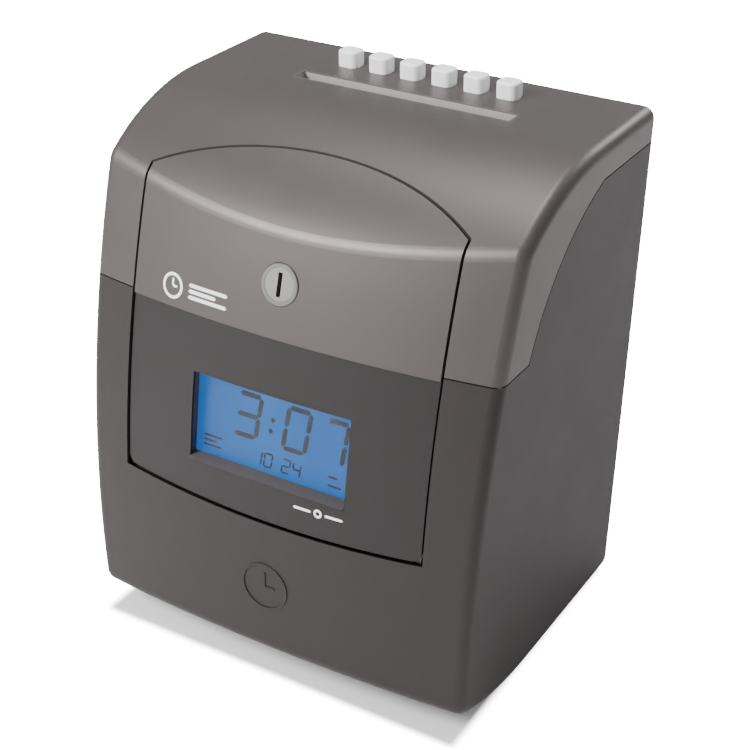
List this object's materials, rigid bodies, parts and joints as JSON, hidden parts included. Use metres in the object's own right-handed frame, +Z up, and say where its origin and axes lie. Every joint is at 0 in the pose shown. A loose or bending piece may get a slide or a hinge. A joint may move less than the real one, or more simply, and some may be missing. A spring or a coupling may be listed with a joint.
{
  "type": "punch time clock",
  "caption": "Desktop punch time clock: tapered two-tone housing, card slot and key row on top, drop-down locking door with blue display, feed and print mechanism inside.",
  "frame": {"origin": "on the table under the centre of the bounding box", "axes": "+Z up, -Y out of the door (front), +X to the right as seen from the front"},
  "size_m": [0.1724, 0.1373, 0.2122],
  "materials": {
    "base_shell": "fine satin texture",
    "hood": "metallic grey satin",
    "rear_cover": "fine texture",
    "cover_screws": "zinc plated",
    "rubber_feet": "matte",
    "slot_insert": "light grey satin",
    "key_board": "solder mask",
    "tact_switches": "matte",
    "latch_keeper": "zinc plated",
    "side_plate_left": "zinc plated",
    "side_plate_right": "zinc plated",
    "chassis_base": "zinc plated",
    "display_bracket": "zinc plated",
    "lcd_glass": "blue backlit display",
    "lcd_board": "solder mask",
    "chute_front": "zinc plated",
    "chute_back": "zinc plated",
    "card_stop": "matte",
    "feed_motor": "plated can",
    "idler_pin": "turned",
    "pinch_bracket": "zinc plated",
    "shaft_bushes": "sintered bronze",
    "guide_rods": "ground",
    "platen": "hard rubber",
    "head_motor": "plated can",
    "motor_bracket": "zinc plated",
    "idler_bracket": "zinc plated",
    "drive_belt": "toothed",
    "ribbon_cartridge": "fine texture",
    "ink_ribbon": "inked nylon",
    "main_board": "solder mask",
    "power_jack": "black",
    "backup_battery": "shrink sleeve",
    "door_shell": "metallic grey satin",
    "display_panel": "dark grey satin",
    "window_bezel": "dark satin",
    "display_lens": "clear",
    "hinge_pins": "turned",
    "lock_body": "dark nickel",
    "lock_nut": "plated",
    "lock_plug": "satin nickel",
    "lock_cam": "zinc plated",
    "feed_shaft": "ground",
    "feed_rollers": "matte rubber",
    "feed_gear": "natural acetal",
    "idler_gear": "natural acetal",
    "motor_pinion": "machined",
    "pinch_shaft": "ground",
    "pinch_rollers": "acetal",
    "head_carriage": "black",
    "print_head": "black with fins",
    "drive_pulley": "acetal",
    "idler_pulley": "acetal",
    "ribbon_knob": "blue",
    "key": "off-white satin"
  },
  "bodies": {
    "housing": {"base_shell": "base_shell", "hood": "hood", "rear_cover": "rear_cover", "cover_screws": "cover_screws", "rubber_feet": "rubber_feet", "slot_insert": "slot_insert", "key_board": "key_board", "tact_switches": "tact_switches", "latch_keeper": "latch_keeper", "side_plate_left": "side_plate_left", "side_plate_right": "side_plate_right", "chassis_base": "chassis_base", "display_bracket": "display_bracket", "lcd_glass": "lcd_glass", "lcd_board": "lcd_board", "chute_front": "chute_front", "chute_back": "chute_back", "card_stop": "card_stop", "feed_motor": "feed_motor", "idler_pin": "idler_pin", "pinch_bracket": "pinch_bracket", "shaft_bushes": "shaft_bushes", "guide_rods": "guide_rods", "platen": "platen", "head_motor": "head_motor", "motor_bracket": "motor_bracket", "idler_bracket": "idler_bracket", "drive_belt": "drive_belt", "ribbon_cartridge": "ribbon_cartridge", "ink_ribbon": "ink_ribbon", "main_board": "main_board", "power_jack": "power_jack", "backup_battery": "backup_battery"},
    "door": {"door_shell": "door_shell", "display_panel": "display_panel", "window_bezel": "window_bezel", "display_lens": "display_lens", "hinge_pins": "hinge_pins", "lock_body": "lock_body", "lock_nut": "lock_nut"},
    "lock": {"lock_plug": "lock_plug", "lock_cam": "lock_cam"},
    "feed": {"feed_shaft": "feed_shaft", "feed_rollers": "feed_rollers", "feed_gear": "feed_gear"},
    "idler": {"idler_gear": "idler_gear"},
    "pinion": {"motor_pinion": "motor_pinion"},
    "pinch": {"pinch_shaft": "pinch_shaft", "pinch_rollers": "pinch_rollers"},
    "carriage": {"head_carriage": "head_carriage", "print_head": "print_head"},
    "belt_drive": {"drive_pulley": "drive_pulley"},
    "belt_idler": {"idler_pulley": "idler_pulley"},
    "ribbon_takeup": {"ribbon_knob": "ribbon_knob"},
    "key_1": {"key_1": "key"},
    "key_2": {"key_2": "key"},
    "key_3": {"key_3": "key"},
    "key_4": {"key_4": "key"},
    "key_5": {"key_5": "key"},
    "key_6": {"key_6": "key"}
  },
  "joints": [
    {"name": "door_hinge", "type": "hinge", "parent": "housing", "child": "door", "pos_m": [0, -0.0583, 0.077], "axis": [1, 0, 0], "range_deg": [0, 65]},
    {"name": "lock_turn", "type": "hinge", "parent": "door", "child": "lock", "pos_m": [0, -0.0494, 0.16215], "axis": [0, -0.9598, 0.2807], "range_deg": [0, 90]},
    {"name": "feed_spin", "type": "hinge", "parent": "housing", "child": "feed", "pos_m": [0, 0.021, 0.062], "axis": [1, 0, 0], "continuous": true},
    {"name": "idler_spin", "type": "hinge", "parent": "housing", "child": "idler", "pos_m": [-0.0575, -0.00428, 0.04079], "axis": [1, 0, 0], "continuous": true},
    {"name": "pinion_spin", "type": "hinge", "parent": "housing", "child": "pinion", "pos_m": [-0.0575, -0.02401, 0.03361], "axis": [1, 0, 0], "continuous": true},
    {"name": "pinch_spin", "type": "hinge", "parent": "housing", "child": "pinch", "pos_m": [0, 0.0354, 0.062], "axis": [1, 0, 0], "continuous": true},
    {"name": "carriage_slide", "type": "slide", "parent": "housing", "child": "carriage", "axis": [1, 0, 0], "range_m": [-0.025, 0.025]},
    {"name": "drive_pulley_spin", "type": "hinge", "parent": "housing", "child": "belt_drive", "pos_m": [0.04, -0.01015, 0.12], "axis": [0, 1, 0], "range_deg": [-250, 250]},
    {"name": "idler_pulley_spin", "type": "hinge", "parent": "housing", "child": "belt_idler", "pos_m": [-0.04, -0.01015, 0.12], "axis": [0, 1, 0], "range_deg": [-250, 250]},
    {"name": "ribbon_knob_turn", "type": "hinge", "parent": "housing", "child": "ribbon_takeup", "pos_m": [-0.03, -0.004, 0.18], "axis": [0, 0, 1], "continuous": true},
    {"name": "key_1_press", "type": "slide", "parent": "housing", "child": "key_1", "axis": [0, 0, -1], "range_m": [0, 0.0018], "stiffness_N_per_m": 150, "springref_m": -0.002},
    {"name": "key_2_press", "type": "slide", "parent": "housing", "child": "key_2", "axis": [0, 0, -1], "range_m": [0, 0.0018], "stiffness_N_per_m": 150, "springref_m": -0.002},
    {"name": "key_3_press", "type": "slide", "parent": "housing", "child": "key_3", "axis": [0, 0, -1], "range_m": [0, 0.0018], "stiffness_N_per_m": 150, "springref_m": -0.002},
    {"name": "key_4_press", "type": "slide", "parent": "housing", "child": "key_4", "axis": [0, 0, -1], "range_m": [0, 0.0018], "stiffness_N_per_m": 150, "springref_m": -0.002},
    {"name": "key_5_press", "type": "slide", "parent": "housing", "child": "key_5", "axis": [0, 0, -1], "range_m": [0, 0.0018], "stiffness_N_per_m": 150, "springref_m": -0.002},
    {"name": "key_6_press", "type": "slide", "parent": "housing", "child": "key_6", "axis": [0, 0, -1], "range_m": [0, 0.0018], "stiffness_N_per_m": 150, "springref_m": -0.002}
  ],
  "couplings": [
    {"joint": "idler_spin", "follows": "feed_spin", "ratio": -1.2},
    {"joint": "pinion_spin", "follows": "feed_spin", "ratio": 3},
    {"joint": "pinch_spin", "follows": "feed_spin", "ratio": -1.3333},
    {"joint": "drive_pulley_spin", "follows": "carriage_slide", "rad_per_m": 166.67},
    {"joint": "idler_pulley_spin", "follows": "carriage_slide", "rad_per_m": 166.67}
  ]
}
